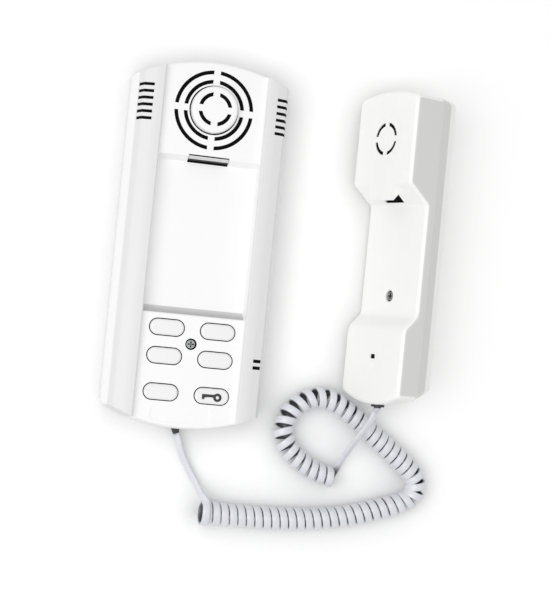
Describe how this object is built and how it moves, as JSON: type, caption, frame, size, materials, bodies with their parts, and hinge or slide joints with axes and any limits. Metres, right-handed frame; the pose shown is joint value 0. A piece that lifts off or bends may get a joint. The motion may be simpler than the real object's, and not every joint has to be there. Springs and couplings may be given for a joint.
{
  "type": "audio intercom handset",
  "caption": "Wall intercom base with a speaker grille, call buttons, a door button and a hook lever, beside its handset on a curly cord.",
  "frame": {"origin": "middle of the base's flat back face, which goes against the wall", "axes": "+Y runs along the base to its speaker end, +Z comes out of the base's front, +X points to the handset that lies beside the base"},
  "size_m": [0.2063, 0.2763, 0.0578],
  "materials": {
    "white_case": "glossy",
    "white_handset": "glossy",
    "grey_button": "satin",
    "hook_plastic": "satin",
    "cord_jacket": "glossy",
    "black_rubber": "matte",
    "foam_rubber": "matte",
    "dark_print": "matte",
    "black_plastic": "matte",
    "green_plastic": "matte",
    "board": "satin",
    "speaker_paper": "matte",
    "capacitor_sleeve": "glossy",
    "transformer_iron": "satin",
    "magnet": "matte",
    "zinc_steel": "satin",
    "steel": "satin"
  },
  "bodies": {
    "base": {"wall_bracket": "zinc_steel", "rear_case": "white_case", "front_case": "white_case", "case_screw": "steel", "main_board": "board", "board_screws": "steel", "terminal_block": "green_plastic", "terminal_screws": "steel", "line_transformer": "transformer_iron", "capacitors": "capacitor_sleeve", "amplifier_chip": "black_plastic", "speaker_frame": "zinc_steel", "speaker_cone": "speaker_paper", "speaker_magnet": "magnet", "speaker_gasket": "foam_rubber", "hook_pivot_pin": "steel", "hook_spring": "steel", "hook_switch": "black_plastic", "key_switches": "black_plastic", "base_cord_gland": "black_rubber", "base_lead": "cord_jacket", "curly_cord": "cord_jacket"},
    "hook": {"hook_lever": "hook_plastic"},
    "call_button_1_body": {"call_button_1": "grey_button"},
    "call_button_2_body": {"call_button_2": "grey_button"},
    "call_button_3_body": {"call_button_3": "grey_button"},
    "call_button_4_body": {"call_button_4": "grey_button"},
    "call_button_5_body": {"call_button_5": "grey_button"},
    "door_button_body": {"door_button": "grey_button", "key_symbol": "dark_print"},
    "handset": {"handset_front_shell": "white_handset", "handset_back_shell": "white_handset", "handset_screw": "steel", "receiver_capsule": "black_plastic", "receiver_gasket": "foam_rubber", "microphone_capsule": "zinc_steel", "microphone_boot": "black_rubber", "balance_weight": "zinc_steel", "weight_screws": "steel", "handset_cord_gland": "black_rubber", "handset_lead": "cord_jacket"}
  },
  "joints": [
    {"name": "call_button_1_press", "type": "slide", "parent": "base", "child": "call_button_1_body", "axis": [0, 0, -1], "range_m": [0, 0.0012], "stiffness_N_per_m": 500},
    {"name": "call_button_2_press", "type": "slide", "parent": "base", "child": "call_button_2_body", "axis": [0, 0, -1], "range_m": [0, 0.0012], "stiffness_N_per_m": 500},
    {"name": "call_button_3_press", "type": "slide", "parent": "base", "child": "call_button_3_body", "axis": [0, 0, -1], "range_m": [0, 0.0012], "stiffness_N_per_m": 500},
    {"name": "call_button_4_press", "type": "slide", "parent": "base", "child": "call_button_4_body", "axis": [0, 0, -1], "range_m": [0, 0.0012], "stiffness_N_per_m": 500},
    {"name": "call_button_5_press", "type": "slide", "parent": "base", "child": "call_button_5_body", "axis": [0, 0, -1], "range_m": [0, 0.0012], "stiffness_N_per_m": 500},
    {"name": "door_button_press", "type": "slide", "parent": "base", "child": "door_button_body", "axis": [0, 0, -1], "range_m": [0, 0.0012], "stiffness_N_per_m": 500},
    {"name": "hook_swing", "type": "hinge", "parent": "base", "child": "hook", "pos_m": [0, 0.0512, 0.012], "axis": [1, 0, 0], "range_deg": [-3, 0], "stiffness_Nm_per_rad": 0.05},
    {"name": "handset_lift", "type": "slide", "parent": "base", "child": "handset", "axis": [0, 0, 1], "range_m": [0, 0.03], "deforming": ["handset_lead"]}
  ]
}
